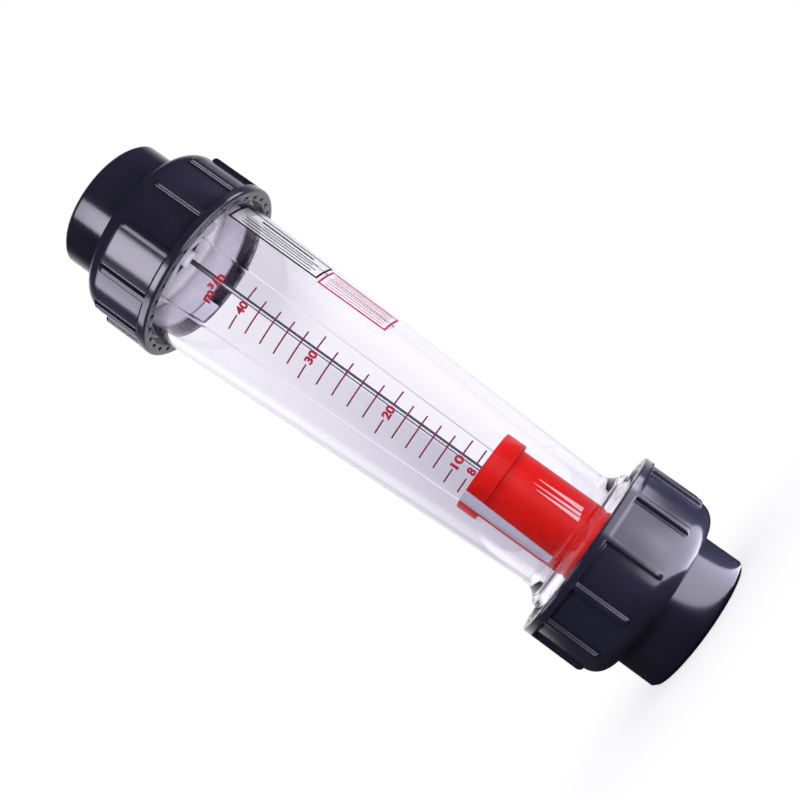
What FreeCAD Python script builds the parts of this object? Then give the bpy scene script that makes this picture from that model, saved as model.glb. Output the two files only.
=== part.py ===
"""Clear-tube flow meter (rotameter) for a 75 mm plastic pipe line, 8 to 40 cubic metres an hour.

The meter stands on its lower pipe socket. +Z runs up the tube, the way the water flows,
and the origin is the centre of the lower socket's end face. -Y is the side with the scale.
A tapered clear tube is held between two pipe sockets by two union nuts. A float slides on
a steel rod, which a spider bracket carries at each end of the tube. The parts of the lower
end are made in place, and those of the upper end are the same parts turned over.
"""
import FreeCAD, Part
import math
import os

from FreeCAD import Vector

# ---- driving dimensions, in millimetres and degrees ---------------------------------

# pipe socket: the tail piece that the pipe is cemented into
pipe_d = 75.0                   # outside diameter of the pipe that the meter is made for
pipe_fit = 0.2                  # the socket's bore is this much wider than the pipe
socket_depth = 44.0             # from the socket's mouth to the stop that the pipe meets
socket_wall = 8.4
socket_mouth_chamfer = 2.0
neck_length = 40.0              # from the socket's mouth to the back of its flange
flange_thickness = 9.0
flange_land = 9.9               # how far the flange stands out past the neck
flange_chamfer = 1.0

# seal between the socket's flange and the end of the tube
ring_width = 3.2                # the O-ring's section as squeezed
ring_height = 2.4
ring_corner = 0.8
groove_side_gap = 0.3
groove_floor_gap = 0.1
seal_gap = 0.2                  # left between tube and flange when the nut is tight

# union nut
thread_clearance = 0.3          # from the nut's thread to the tube's collar
flange_clearance = 0.3          # from the nut's thread to the socket's flange
nut_length = 54.4
nut_wall = 5.7                  # round the thread, between the ribs
nut_rib_height = 3.1            # of the ribs and of the collar round the mouth
nut_mouth_width = 6.0
nut_mouth_chamfer = 0.8
nut_lip_thickness = 11.2
nut_lip_clearance = 0.5         # round the socket's neck
nut_lip_gap = 0.2               # between the lip and the flange's back
nut_shoulder_radius = 12.4
nut_rib_count = 12
nut_rib_width = 3.6
nut_rib_end_radius = 3.0
nut_rib_root = 1.5              # how far a rib reaches into the wall and the collar
nut_pocket_count = 30           # moulding pockets in the face of the mouth
nut_pocket_width = 4.0          # along the rim
nut_pocket_height = 2.4         # across the rim
nut_pocket_depth = 4.0
lower_nut_turned = -8.5         # where the first rib stopped, from -Y towards -X
upper_nut_turned = 4.9

# clear measuring tube
tube_length = 363.6
bore_gap = 5.0                  # round the float's collar, where the flare begins
tube_wall_bottom = 7.2
tube_wall_top = 4.7
flare_drop = 6.2                # height of the outer cone
flare_foot = 5.8                # from the lower collar up to the cone
flare_wall = 5.9                # round the chamber below the flare
flare_bore_drop = 7.5           # height of the inner cone
flare_bore_start = 1.5          # how far the inner cone starts below the outer one
lower_collar_height = 32.3      # from the tube's end
upper_collar_height = 25.8
mould_line_height = 0.4         # low ribs left along the bore by the mould's split core
mould_line_width = 2.0
mould_line_root = 1.0           # how far each rib reaches into the wall
mould_lines_turned = (36.0, -18.0)      # where they lie, from -Y towards -X

# spider bracket that carries the rod, one in a seat at each end of the tube
seat_wall = 5.6                 # of the tube's collar, round the seat
seat_depth = 8.0
seat_step = 1.8                 # by which the seat is wider than the bore above it
seat_clearance = 0.2
bracket_ring_width = 6.6
bracket_arm_count = 4
bracket_arm_width = 5.0
bracket_arm_drop = 1.0          # how far the arms stay below the ring and the hub
bracket_arm_turned = 45.0
hub_d = 16.0
hub_length = 11.6
hub_draft = 0.8                 # how much slimmer the hub's face is, on its radius

# guide rod and what is screwed on its ends
rod_d = 3.5
rod_thread_d = 3.0
rod_thread_end = 1.5            # thread showing past the nut
rod_thread_chamfer = 0.4
rod_hole_clearance = 0.05
rod_nut_flats = 5.5
rod_nut_height = 2.4
rod_washer_d = 9.0
rod_washer_thickness = 0.8
bumper_d = 12.0
bumper_length = 7.5
bumper_clearance = 0.1
bumper_corner = 1.0

# float
float_length = 91.2
float_body_d = 49.6
float_collar_step = 3.2         # by which the collar stands out from the body
float_collar_length = 14.3
float_collar_chamfer = 0.6
float_wall = 3.0
float_top_wall = 5.0
float_foot_chamfer = 2.4
float_plug_thickness = 6.0
float_plug_clearance = 0.02
float_rest_gap = 0.3            # above the lower bumper
bush_d = 8.0
bush_length = 5.0
bush_clearance = 0.1            # running clearance on the rod
bush_fit = 0.02
weight_side_gap = 1.8
weight_headroom = 8.2           # left above the weight, inside the float
weight_bore_gap = 0.3           # by which the weight clears the bushes
weight_chamfer = 1.0

cut_past = 1.0                  # how far each cut runs on past the face it opens

# ---- heights worked out from them ---------------------------------------------------

flange_top = neck_length + flange_thickness
tube_z0 = flange_top + seal_gap
tube_z1 = tube_z0 + tube_length
overall_height = tube_z1 + tube_z0
nut_z0 = neck_length - nut_lip_gap - nut_lip_thickness
bracket_z0 = tube_z0 + seat_clearance
bracket_z1 = tube_z0 + seat_depth
hub_z1 = bracket_z0 + hub_length
bumper_z1 = hub_z1 + bumper_length
float_z0 = bumper_z1 + float_rest_gap
float_z1 = float_z0 + float_length
flare_z = tube_z0 + lower_collar_height + flare_foot + flare_drop

# ---- radii worked out from them, from the pipe outwards -----------------------------

socket_r = (pipe_d + pipe_fit) / 2
neck_r = socket_r + socket_wall
flange_r = neck_r + flange_land
thread_r = flange_r + flange_clearance
nut_body_r = thread_r + nut_wall
nut_mouth_r = nut_body_r + nut_rib_height
collar_r = thread_r - thread_clearance
seat_r = collar_r - seat_wall
ring_mid_r = collar_r - seat_wall / 2
bracket_r = seat_r - seat_clearance
chamber_r = bracket_r - bracket_ring_width
bore_r_top = seat_r - seat_step
float_r = float_body_d / 2
float_collar_r = float_r + float_collar_step
float_cavity_r = float_r - float_wall
bore_r_bottom = float_collar_r + bore_gap


# ---- small helpers ------------------------------------------------------------------

def section(points):
    """Face in the XZ plane. A point is (r, z), or (r, z, r_mid, z_mid) for an arc that
    reaches it from the point before through the middle point."""
    edges = []
    last = points[-1]
    start = Vector(last[0], 0, last[1])
    for point in points:
        end = Vector(point[0], 0, point[1])
        if len(point) == 4:
            edges.append(Part.Arc(start, Vector(point[2], 0, point[3]), end).toShape())
        else:
            edges.append(Part.makeLine(start, end))
        start = end
    return Part.Face(Part.Wire(edges))


def arc_to(r, z, centre_r, centre_z, radius, mid_angle):
    """End point of a round stretch, with its middle point found from the centre."""
    angle = math.radians(mid_angle)
    return (r, z, centre_r + radius * math.cos(angle), centre_z + radius * math.sin(angle))


def turned_part(points):
    """Solid of revolution about Z."""
    return section(points).revolve(Vector(0, 0, 0), Vector(0, 0, 1), 360)


def radial_slab(points, width):
    """Flat slab of an (r, z) section that stands out towards -Y, as thick as width."""
    slab = section(points).extrude(Vector(0, width, 0))
    slab.translate(Vector(0, -width / 2, 0))
    slab.rotate(Vector(0, 0, 0), Vector(0, 0, 1), -90)
    return slab


def turned_by(shape, angle):
    """Copy of the shape turned about Z, from -Y towards -X."""
    copy = shape.copy()
    copy.rotate(Vector(0, 0, 0), Vector(0, 0, 1), -angle)
    return copy


def all_round(shape, count, first=0):
    """Copies of the shape, evenly spaced about Z."""
    return [turned_by(shape, first + i * 360 / count) for i in range(count)]


def upper_end(shape):
    """The same part turned over, at the upper end of the meter."""
    copy = shape.copy()
    copy.rotate(Vector(0, 0, 0), Vector(0, 1, 0), 180)
    copy.translate(Vector(0, 0, overall_height))
    return copy


# ---- pieces of one end --------------------------------------------------------------

def pipe_socket():
    """Tail piece: a bore for the pipe, a flange for the nut, a groove for the O-ring."""
    cut = socket_mouth_chamfer
    edge = flange_chamfer
    body = turned_part([
        (socket_r + cut, 0), (neck_r - cut, 0), (neck_r, cut), (neck_r, neck_length),
        (flange_r - edge, neck_length), (flange_r, neck_length + edge),
        (flange_r, flange_top), (bore_r_bottom, flange_top),
        (bore_r_bottom, socket_depth), (socket_r, socket_depth), (socket_r, cut)])
    inner = ring_mid_r - ring_width / 2 - groove_side_gap
    outer = ring_mid_r + ring_width / 2 + groove_side_gap
    floor = flange_top - ring_height - groove_floor_gap
    open_z = flange_top + cut_past
    groove = turned_part([(inner, floor), (outer, floor), (outer, open_z),
                          (inner, open_z)])
    return body.cut(groove)


def o_ring():
    """Seal ring in the socket's groove, drawn as squeezed by the tube."""
    inner = ring_mid_r - ring_width / 2
    outer = ring_mid_r + ring_width / 2
    low = flange_top - ring_height
    high = flange_top
    c = ring_corner
    return turned_part([
        (inner + c, low), (outer - c, low), (outer, low + c), (outer, high - c),
        (outer - c, high), (inner + c, high), (inner, high - c), (inner, low + c)])


def nut_rib():
    """One grip rib, standing towards -Y, with its outer end rounded off."""
    foot_r = nut_body_r - nut_rib_root
    top_r = nut_mouth_r
    high = nut_z0 + nut_length - nut_mouth_width + nut_rib_root
    low = nut_z0 + nut_shoulder_radius
    c = nut_rib_end_radius
    return radial_slab([
        (foot_r, low), (top_r - c, low), arc_to(top_r, low + c, top_r - c, low + c, c, -45),
        (top_r, high), (foot_r, high)], nut_rib_width)


def union_nut(turned):
    """Nut with a lip that draws the flange to the tube, ribs, and pockets in its mouth."""
    lip_r = neck_r + nut_lip_clearance
    top = nut_z0 + nut_length
    edge = nut_mouth_chamfer
    shoulder = min(nut_shoulder_radius, nut_body_r - lip_r - edge)
    shoulder_r = nut_body_r - shoulder
    nut = turned_part([
        (lip_r, nut_z0), (shoulder_r, nut_z0),
        arc_to(nut_body_r, nut_z0 + shoulder, shoulder_r, nut_z0 + shoulder, shoulder, -45),
        (nut_body_r, top - nut_mouth_width), (nut_mouth_r, top - nut_mouth_width),
        (nut_mouth_r, top - edge), (nut_mouth_r - edge, top), (thread_r + edge, top),
        (thread_r, top - edge), (thread_r, nut_z0 + nut_lip_thickness),
        (lip_r, nut_z0 + nut_lip_thickness)])
    nut = nut.fuse(all_round(nut_rib(), nut_rib_count, turned))
    pocket = Part.makeBox(nut_pocket_width, nut_pocket_height, nut_pocket_depth + cut_past)
    pocket_r = (thread_r + nut_body_r) / 2 - nut_pocket_height / 2
    pocket.translate(Vector(-nut_pocket_width / 2, -pocket_r - nut_pocket_height,
                            top - nut_pocket_depth))
    half_step = 180 / nut_pocket_count
    nut = nut.cut(all_round(pocket, nut_pocket_count, turned + half_step))
    return nut.removeSplitter()


def rod_bracket():
    """Spider: a ring in the tube's seat, arms, and a hub for the rod."""
    hub_r = hub_d / 2
    ring = turned_part([(chamber_r, bracket_z0), (bracket_r, bracket_z0),
                        (bracket_r, bracket_z1), (chamber_r, bracket_z1)])
    hub = turned_part([(0, bracket_z0), (hub_r, bracket_z0), (hub_r, bracket_z1),
                       (hub_r - hub_draft, hub_z1), (0, hub_z1)])
    arm_end = (chamber_r + bracket_r) / 2
    arm = radial_slab([(0, bracket_z0), (arm_end, bracket_z0),
                       (arm_end, bracket_z1 - bracket_arm_drop),
                       (hub_r - hub_draft, hub_z1 - bracket_arm_drop),
                       (0, hub_z1 - bracket_arm_drop)], bracket_arm_width)
    hole = Part.makeCylinder(rod_thread_d / 2 + rod_hole_clearance,
                             hub_length + 2 * cut_past,
                             Vector(0, 0, bracket_z0 - cut_past))
    arms = all_round(arm, bracket_arm_count, bracket_arm_turned)
    return ring.fuse(arms + [hub]).cut(hole).removeSplitter()


def rod_washer():
    """Washer under the rod's nut, against the hub's outer face."""
    high = bracket_z0
    low = high - rod_washer_thickness
    hole_r = rod_thread_d / 2 + rod_hole_clearance
    return turned_part([(hole_r, low), (rod_washer_d / 2, low), (rod_washer_d / 2, high),
                        (hole_r, high)])


def rod_nut():
    """Hexagon nut that holds the rod in the hub."""
    high = bracket_z0 - rod_washer_thickness
    corner_r = rod_nut_flats / math.sqrt(3)
    corners = [Vector(corner_r * math.cos(math.radians(60 * i)),
                      corner_r * math.sin(math.radians(60 * i)), high) for i in range(7)]
    block = Part.Face(Part.makePolygon(corners)).extrude(Vector(0, 0, -rod_nut_height))
    hole = Part.makeCylinder(rod_thread_d / 2 + rod_hole_clearance,
                             rod_nut_height + 2 * cut_past,
                             Vector(0, 0, high - rod_nut_height - cut_past))
    return block.cut(hole)


def stop_bumper():
    """Soft sleeve on the rod that the float comes to rest on."""
    hole_r = rod_d / 2 + bumper_clearance
    r = bumper_d / 2
    c = bumper_corner
    return turned_part([
        (hole_r, hub_z1), (r, hub_z1), (r, bumper_z1 - c), (r - c, bumper_z1),
        (hole_r, bumper_z1)])


# ---- tube, rod and float ------------------------------------------------------------

def bore_line():
    """Lower and upper end of the tapered bore, each as (r, z)."""
    return (bore_r_bottom, flare_z - flare_bore_start), (bore_r_top, tube_z1 - seat_depth)


def measuring_tube():
    """Tapered clear tube, flared to a threaded collar below, straight into one above."""
    (bore_r0, bore_z0), (bore_r1, bore_z1) = bore_line()
    lower_collar_z = tube_z0 + lower_collar_height
    upper_collar_z = tube_z1 - upper_collar_height
    tube = turned_part([
        (seat_r, tube_z0), (collar_r, tube_z0), (collar_r, lower_collar_z),
        (chamber_r + flare_wall, lower_collar_z),
        (chamber_r + flare_wall, flare_z - flare_drop),
        (bore_r0 + tube_wall_bottom, flare_z), (bore_r1 + tube_wall_top, upper_collar_z),
        (collar_r, upper_collar_z), (collar_r, tube_z1), (seat_r, tube_z1),
        (seat_r, bore_z1), (bore_r1, bore_z1), (bore_r0, bore_z0),
        (chamber_r, bore_z0 - flare_bore_drop), (chamber_r, tube_z0 + seat_depth),
        (seat_r, tube_z0 + seat_depth)])
    return tube.fuse(mould_lines())


def mould_lines():
    """Low ribs along the bore, straight from one end of the taper to the other."""
    (r0, z0), (r1, z1) = bore_line()
    root = mould_line_root
    rib = radial_slab([
        (r0 - mould_line_height, z0), (r0 + root, z0), (r1 + root, z1),
        (r1 - mould_line_height, z1)], mould_line_width)
    return [turned_by(rib, angle) for angle in mould_lines_turned]


def guide_rod():
    """Rod between the hubs, with a shoulder against each and a thread at each end."""
    end_z = bracket_z0 - rod_washer_thickness - rod_nut_height - rod_thread_end
    c = rod_thread_chamfer
    end_r = rod_thread_d / 2
    half = [(end_r - c, end_z), (end_r, end_z + c), (end_r, hub_z1), (rod_d / 2, hub_z1)]
    mirrored = [(r, overall_height - z) for r, z in reversed(half)]
    return turned_part([(0, end_z)] + half + mirrored + [(0, overall_height - end_z)])


def float_body():
    """Moulded shell of the float, open below: its collar's top edge reads the flow."""
    step_z = float_z1 - float_collar_length
    cavity_z = float_z1 - float_top_wall
    hole_r = bush_d / 2
    cut = float_collar_chamfer
    foot = float_foot_chamfer
    return turned_part([
        (float_cavity_r, float_z0), (float_r - foot, float_z0), (float_r, float_z0 + foot),
        (float_r, step_z), (float_collar_r - cut, step_z), (float_collar_r, step_z + cut),
        (float_collar_r, float_z1 - cut), (float_collar_r - cut, float_z1),
        (hole_r, float_z1), (hole_r, cavity_z), (float_cavity_r, cavity_z)])


def float_base_plug():
    """Disc that closes the shell from below and carries the weight."""
    r = float_cavity_r - float_plug_clearance
    top = float_z0 + float_plug_thickness
    return turned_part([(bush_d / 2, float_z0), (r, float_z0), (r, top), (bush_d / 2, top)])


def float_weight():
    """Steel slug that gives the float its weight in water."""
    low = float_z0 + float_plug_thickness
    high = float_z1 - float_top_wall - weight_headroom
    bore_r = bush_d / 2 + weight_bore_gap
    r = float_cavity_r - weight_side_gap
    c = weight_chamfer
    return turned_part([
        (bore_r, low), (r - c, low), (r, low + c), (r, high - c), (r - c, high),
        (bore_r, high)])


def float_bush(low):
    """Plain bush that runs on the rod, its lower face at the given height."""
    inner = rod_d / 2 + bush_clearance
    outer = bush_d / 2 - bush_fit
    return turned_part([(inner, low), (outer, low), (outer, low + bush_length),
                        (inner, low + bush_length)])


# ---- the whole meter ----------------------------------------------------------------

def build():
    nodes = {
        "lower_pipe_socket": pipe_socket(),
        "lower_o_ring": o_ring(),
        "lower_union_nut": union_nut(lower_nut_turned),
        "lower_rod_bracket": rod_bracket(),
        "lower_rod_washer": rod_washer(),
        "lower_rod_nut": rod_nut(),
        "lower_stop_bumper": stop_bumper(),
        "upper_pipe_socket": upper_end(pipe_socket()),
        "upper_o_ring": upper_end(o_ring()),
        # turning the nut over reverses the way its ribs are counted
        "upper_union_nut": upper_end(union_nut(-upper_nut_turned)),
        "upper_rod_bracket": upper_end(rod_bracket()),
        "upper_rod_washer": upper_end(rod_washer()),
        "upper_rod_nut": upper_end(rod_nut()),
        "upper_stop_bumper": upper_end(stop_bumper()),
        "measuring_tube": measuring_tube(),
        "guide_rod": guide_rod(),
        "float_body": float_body(),
        "float_base_plug": float_base_plug(),
        "float_weight": float_weight(),
        "float_lower_bush": float_bush(float_z0),
        "float_upper_bush": float_bush(float_z1 - bush_length),
    }
    os.makedirs("parts", exist_ok=True)
    for name, shape in nodes.items():
        shape.exportStep(f"parts/{name}.step")
        box = shape.BoundBox
        print(f"{name:20s} solids {len(shape.Solids)} valid {shape.isValid()} "
              f"volume {shape.Volume / 1000:8.2f} cm3  z {box.ZMin:7.2f} to {box.ZMax:7.2f}")


build()
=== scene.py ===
# %% [markdown]
# # A clear-tube flow meter
# The meter is a tapered clear tube between two dark plastic unions. Water lifts a red float
# up a steel rod, and the float's top edge is read against a scale printed on the tube. The
# solid parts come ready made as a fixed frame. This lesson gives each of them its finish,
# and makes what the frame leaves out: the print, the film labels and the fine threads.

# %% Load the frame
import bpy
import bmesh
import math
from mathutils import Matrix, Vector


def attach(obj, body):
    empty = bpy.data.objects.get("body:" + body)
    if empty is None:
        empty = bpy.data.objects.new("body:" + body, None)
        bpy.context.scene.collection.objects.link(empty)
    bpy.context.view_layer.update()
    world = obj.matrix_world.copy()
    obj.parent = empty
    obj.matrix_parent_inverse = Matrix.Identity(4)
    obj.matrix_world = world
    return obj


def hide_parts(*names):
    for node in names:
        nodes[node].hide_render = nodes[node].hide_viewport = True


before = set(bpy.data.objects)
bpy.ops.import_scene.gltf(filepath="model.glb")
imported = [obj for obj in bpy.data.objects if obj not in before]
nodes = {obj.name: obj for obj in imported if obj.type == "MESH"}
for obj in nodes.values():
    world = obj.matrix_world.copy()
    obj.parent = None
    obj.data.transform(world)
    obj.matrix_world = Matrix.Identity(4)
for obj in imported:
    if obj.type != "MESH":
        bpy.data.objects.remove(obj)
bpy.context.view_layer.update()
MM = 0.001
print("nodes in the frame:", len(nodes))

# %% [markdown]
# ## Camera
# The meter stands upright, but it is pictured lying across the frame, so the camera is rolled
# over instead. It looks a little upwards, from the side with the scale. The camera is set by
# where it stands, where it points and how far it is rolled, which are easier to reason about
# than three turns one after the other.

# %% Camera
CAMERA_AT = Vector((-7.0, -716.9, 121.9)) * MM
LOOK_ASIDE = 1.01       # degrees to the right of straight along +Y
LOOK_UP = 8.45          # degrees above level
ROLL = 54.37            # degrees that the picture's top leans towards -X
LENS = 51.3             # mm
SENSOR_WIDTH = 36.0     # mm
NEAR_LIMIT = 0.01       # metres in front of the camera, where the picture starts


def place_camera():
    aside, up, roll = (math.radians(a) for a in (LOOK_ASIDE, LOOK_UP, ROLL))
    look = Vector((math.sin(aside) * math.cos(up), math.cos(aside) * math.cos(up),
                   math.sin(up)))
    level = look.cross(Vector((0, 0, 1))).normalized()
    upright = level.cross(look)
    picture_up = upright * math.cos(roll) + level * math.sin(roll)
    picture_right = look.cross(picture_up)
    turn = Matrix((picture_right, picture_up, -look)).transposed().to_4x4()
    data = bpy.data.cameras.new("camera")
    data.lens = LENS
    data.sensor_width = SENSOR_WIDTH
    data.clip_start = NEAR_LIMIT
    camera = bpy.data.objects.new("camera", data)
    camera.matrix_world = Matrix.Translation(CAMERA_AT) @ turn
    bpy.context.scene.collection.objects.link(camera)
    bpy.context.scene.camera = camera
    return camera


bpy.context.scene.view_settings.view_transform = "Standard"
camera = place_camera()
print("camera stands at", [round(v, 3) for v in camera.matrix_world.translation])

# %% [markdown]
# ## Small helpers
# Every material is a tree of nodes, and so is the sky. Writing out each node, setting and link
# would hide what the tree does, so one function adds a node with all of them. Another turns a
# colour written as on a paint card into the linear values that a shader needs: what looks like
# a middle grey reflects only a fifth of the light.

# %% Helpers


def linear(hex_colour):
    """A colour such as #24232f, as linear red, green, blue and 1."""
    parts = [int(hex_colour[i:i + 2], 16) / 255 for i in (1, 3, 5)]
    values = [p / 12.92 if p <= 0.04045 else ((p + 0.055) / 1.055) ** 2.4 for p in parts]
    return (*values, 1.0)


def add(tree, kind, inputs=None, **settings):
    """Adds a node. An input is a plain value, another node's output, or another node, which
    stands for its first output."""
    made = tree.nodes.new(kind)
    for name, value in settings.items():
        setattr(made, name, value)
    for name, value in (inputs or {}).items():
        if isinstance(value, bpy.types.Node):
            value = value.outputs[0]
        if isinstance(value, bpy.types.NodeSocket):
            tree.links.new(value, made.inputs[name])
        else:
            made.inputs[name].default_value = value
    return made


print("middle grey is", round(linear("#808080")[0], 3), "of white in linear values")

# %% [markdown]
# ## What each kind of ray sees of the room
# The meter stands on a plain white floor under a white sky. To the camera both are plain
# white, but they light the meter only gently, and off gloss and through clear plastic the side
# of the room behind the camera is dim, as in a studio with its lights turned on the subject.
# The Light Path node tells these kinds of ray apart.

# %% What each kind of ray sees
DIM_ROOM = 0.08         # what gloss shows of the room on the camera's side
DIM_CLEAR = 0.15        # and what the bent light in the clear wall shows of it
FACES_CROSSED = 3.5     # light has crossed four faces of the tube once it is past this
# how far back a place lies where dim starts to turn white, and where it is white: the Y of
# its direction in the sky, and its Y in metres on the floor
GLOSS_FADE = (0.4, 0.9)
CLEAR_FADE = (-0.8, 0.2)


def brightness_seen(tree, back, wall):
    """How white the surroundings look at this place: wholly to the camera, by how far back
    it lies to rays off a gloss, and by the wall's own brightness through clear plastic. The
    second value is 1 for all three kinds of ray, and 0 for the light that falls on things."""
    path = add(tree, "ShaderNodeLightPath").outputs
    in_gloss, in_clear = [
        add(tree, "ShaderNodeMapRange", {"Value": back, "From Min": near, "From Max": far,
                                         "To Min": dim}, interpolation_type="SMOOTHSTEP")
        for (near, far), dim in ((GLOSS_FADE, DIM_ROOM), (CLEAR_FADE, DIM_CLEAR))]
    # a ray bent by smooth glass counts as glossy too, so that is taken off again
    off_gloss = add(tree, "ShaderNodeMath", {
        0: path["Is Glossy Ray"], 1: path["Is Transmission Ray"]}, operation="SUBTRACT",
        use_clamp=True)
    # light that goes straight through the whole tube crosses four faces and mirrors in none
    crossed = add(tree, "ShaderNodeMath", {0: path["Transmission Depth"], 1: FACES_CROSSED},
                  operation="GREATER_THAN")
    straight = add(tree, "ShaderNodeMath", {0: crossed, 1: path["Glossy Depth"]},
                   operation="SUBTRACT")
    bent = add(tree, "ShaderNodeMath", {0: in_clear, 1: straight}, operation="MAXIMUM")
    through_clear = add(tree, "ShaderNodeMath", {0: bent, 1: wall}, operation="MULTIPLY")
    seen, any_kind = 0.0, 0.0
    for is_kind, level in ((path["Is Camera Ray"], 1.0), (off_gloss, in_gloss),
                           (path["Is Transmission Ray"], through_clear)):
        part = add(tree, "ShaderNodeMath", {0: is_kind, 1: level}, operation="MULTIPLY")
        seen = add(tree, "ShaderNodeMath", {0: seen, 1: part}, operation="MAXIMUM")
        any_kind = add(tree, "ShaderNodeMath", {0: any_kind, 1: is_kind},
                       operation="MAXIMUM")
    return seen, any_kind


def tint(tree, level):
    """White at level 1, and a cool lavender grey where the room is dim."""
    return add(tree, "ShaderNodeMix", {0: level, 6: linear("#cdc6ea"), 7: (1, 1, 1, 1)},
               data_type="RGBA").outputs[2]


print("gloss shows", DIM_ROOM, "of the near side of the room, and clear plastic", DIM_CLEAR)

# %% [markdown]
# ## The wall behind the meter
# A clear tube against plain white nearly vanishes. A grey screen behind its left half gives
# the acrylic its soft grey there, and the other half stays bright. Only light that comes
# through clear plastic shows the screen. The sky and the floor both follow it, so that the
# line where they meet doesn't show through the tube.

# %% The wall behind
WALL_LEFT = 0.64        # the screen's brightness at the height of the camera, where 1 is white
WALL_LEFT_RISE = 1.4    # what it gains on the way straight up
OUTER_GAIN = 0.28       # what it gains past its outer edge
WALL_RIGHT = 1.13       # the brightness of the other half low down
WALL_RIGHT_TOP = 0.88   # and high up
RIGHT_FADE = (0.22, 0.28)       # where it changes from low to high, as a direction's Z
MIDDLE = (-0.004, 0.012)        # where the screen's inner edge starts and ends, as its X
OUTER_EDGE = (-0.36, -0.56)     # and its outer edge


def screen_edges(tree, aside):
    """From 0 to 1 past the screen's inner edge, and from 0 to 1 past its outer one."""
    return [add(tree, "ShaderNodeMapRange", {"Value": aside, "From Min": start,
                                             "From Max": end})
            for start, end in (MIDDLE, OUTER_EDGE)]


def wall_behind(tree, aside, up):
    """How bright the wall behind the meter is, as the clear tube shows it."""
    past_middle, past_outer_edge = screen_edges(tree, aside)
    risen = add(tree, "ShaderNodeMath", {0: up, 1: WALL_LEFT_RISE, 2: WALL_LEFT},
                operation="MULTIPLY_ADD")
    left = add(tree, "ShaderNodeMath", {0: past_outer_edge, 1: OUTER_GAIN, 2: risen},
               operation="MULTIPLY_ADD")
    right = add(tree, "ShaderNodeMapRange", {
        "Value": up, "From Min": RIGHT_FADE[0], "From Max": RIGHT_FADE[1],
        "To Min": WALL_RIGHT, "To Max": WALL_RIGHT_TOP})
    return add(tree, "ShaderNodeMix", {0: past_middle, 2: left, 3: right})


print("the wall behind is", WALL_LEFT, "of white on the left and", WALL_RIGHT, "on the right")

# %% [markdown]
# ## Sky
# The sky stands for a studio's white walls and ceiling. It is two backgrounds in one: the
# first is what lights the meter, and the second is what the camera, a gloss or the clear
# plastic shows. An image of a real studio would do too, but numbers are easier to match.

# %% Sky
SKY_LIGHT = 0.50        # how strongly the sky lights things, where 1 is white


def make_sky():
    world = bpy.data.worlds.new("sky")
    world.use_nodes = True
    bpy.context.scene.world = world
    tree = world.node_tree
    tree.nodes.clear()
    way = add(tree, "ShaderNodeTexCoord").outputs["Generated"]
    xyz = add(tree, "ShaderNodeSeparateXYZ", {0: way}).outputs
    level, any_kind = brightness_seen(tree, xyz["Y"], wall_behind(tree, xyz["X"], xyz["Z"]))
    lighting = add(tree, "ShaderNodeBackground",
                   {"Color": linear("#f8f8ff"), "Strength": SKY_LIGHT})
    shown = add(tree, "ShaderNodeBackground", {"Color": tint(tree, level),
                                               "Strength": level})
    mix = add(tree, "ShaderNodeMixShader", {0: any_kind, 1: lighting, 2: shown})
    add(tree, "ShaderNodeOutputWorld", {"Surface": mix})


make_sky()
print("nodes in the sky:", len(bpy.context.scene.world.node_tree.nodes))

# %% [markdown]
# ## Floor
# The floor is one wide square of white paint under the sky's gentle light, with a glow of its
# own that brings it up to plain white. A floor that only glows would look just as white, but
# the meter would float over it: the paint is what takes its soft shadow.

# %% Floor
FLOOR_SIZE = 8.0        # metres
FLOOR_GLOW = 0.68       # with the paint under this sky it adds up to white
FLOOR_LEFT = 0.76       # the floor seen through clear plastic, on the grey screen's side


def new_material(name):
    """An empty material and its tree."""
    material = bpy.data.materials.new(name)
    material.use_nodes = True
    material.node_tree.nodes.clear()
    return material, material.node_tree


def new_object(name, data):
    made = bpy.data.objects.new(name, data)
    bpy.context.scene.collection.objects.link(made)
    return made


def floor_paint():
    """White paint, which only the sky lights, and a glow over it."""
    material, tree = new_material("white_floor_paint")
    place = add(tree, "ShaderNodeTexCoord").outputs["Object"]
    xyz = add(tree, "ShaderNodeSeparateXYZ", {0: place}).outputs
    away = add(tree, "ShaderNodeVectorMath", {0: place}, operation="LENGTH").outputs["Value"]
    aside = add(tree, "ShaderNodeMath", {0: xyz["X"], 1: away}, operation="DIVIDE")
    past_middle, past_outer_edge = screen_edges(tree, aside)
    off_screen = add(tree, "ShaderNodeMath", {0: past_middle, 1: past_outer_edge},
                     operation="MAXIMUM")
    wall = add(tree, "ShaderNodeMapRange", {"Value": off_screen, "To Min": FLOOR_LEFT})
    level, any_kind = brightness_seen(tree, xyz["Y"], wall)
    paint = add(tree, "ShaderNodeBsdfDiffuse", {"Color": linear("#dedede")})
    glow = add(tree, "ShaderNodeMath", {0: level, 1: FLOOR_GLOW}, operation="MULTIPLY")
    light = add(tree, "ShaderNodeEmission", {"Color": tint(tree, level), "Strength": glow})
    both = add(tree, "ShaderNodeAddShader", {0: paint, 1: light})
    # where a gloss or the clear wall shows the dim room, the paint goes dark too
    dark = add(tree, "ShaderNodeMath", {0: any_kind, 1: level}, operation="SUBTRACT")
    black = add(tree, "ShaderNodeBsdfDiffuse", {"Color": (0, 0, 0, 1)})
    mix = add(tree, "ShaderNodeMixShader", {0: dark, 1: both, 2: black})
    add(tree, "ShaderNodeOutputMaterial", {"Surface": mix})
    return material


def make_floor():
    half = FLOOR_SIZE / 2
    mesh = bpy.data.meshes.new("floor")
    mesh.from_pydata([(-half, -half, 0), (half, -half, 0), (half, half, 0),
                      (-half, half, 0)], [], [(0, 1, 2, 3)])
    mesh.materials.append(floor_paint())
    floor = new_object("floor", mesh)
    return floor


floor = make_floor()
print("the floor is", FLOOR_SIZE, "m wide")

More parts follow.
